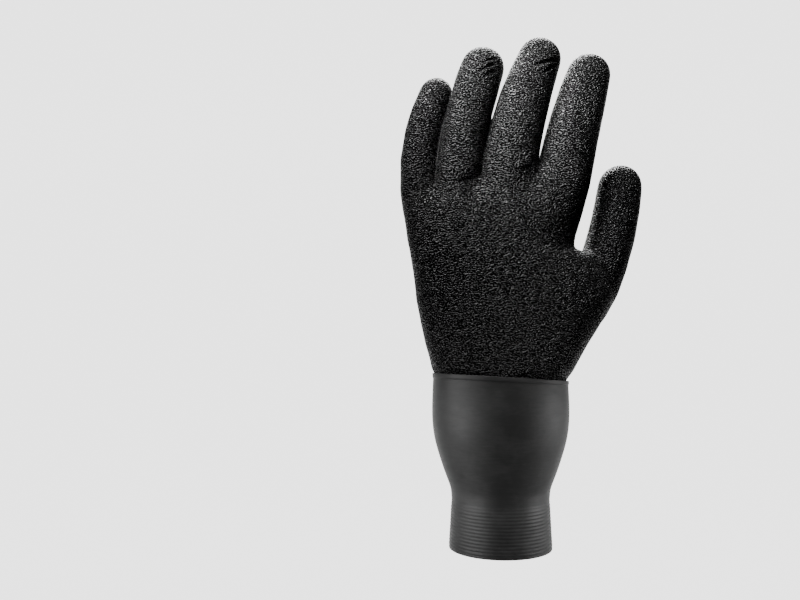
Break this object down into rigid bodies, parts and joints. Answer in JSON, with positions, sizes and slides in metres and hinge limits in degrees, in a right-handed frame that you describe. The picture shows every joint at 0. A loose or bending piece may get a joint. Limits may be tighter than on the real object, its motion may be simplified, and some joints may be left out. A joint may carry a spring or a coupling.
{
  "type": "dry diving glove",
  "caption": "Hollow five-finger dry glove of crinkled black rubber, glued to a smooth flexible wrist cuff that seals round the wrist; left hand, standing open and filled out.",
  "frame": {"origin": "centre of the cuff's open mouth, where the wrist goes in", "axes": "+Z from the mouth towards the fingertips, +X towards the thumb's side, -Y the way the back of the hand faces"},
  "size_m": [0.1522, 0.073, 0.3197],
  "materials": {
    "textured_rubber": "crinkle-textured latex with a soft gloss on its ridges",
    "smooth_rubber": "smooth semi-matt latex with fine grip ribs"
  },
  "bodies": {
    "root": {"hand_shell": "textured_rubber", "wrist_cuff": "smooth_rubber"}
  },
  "joints": []
}
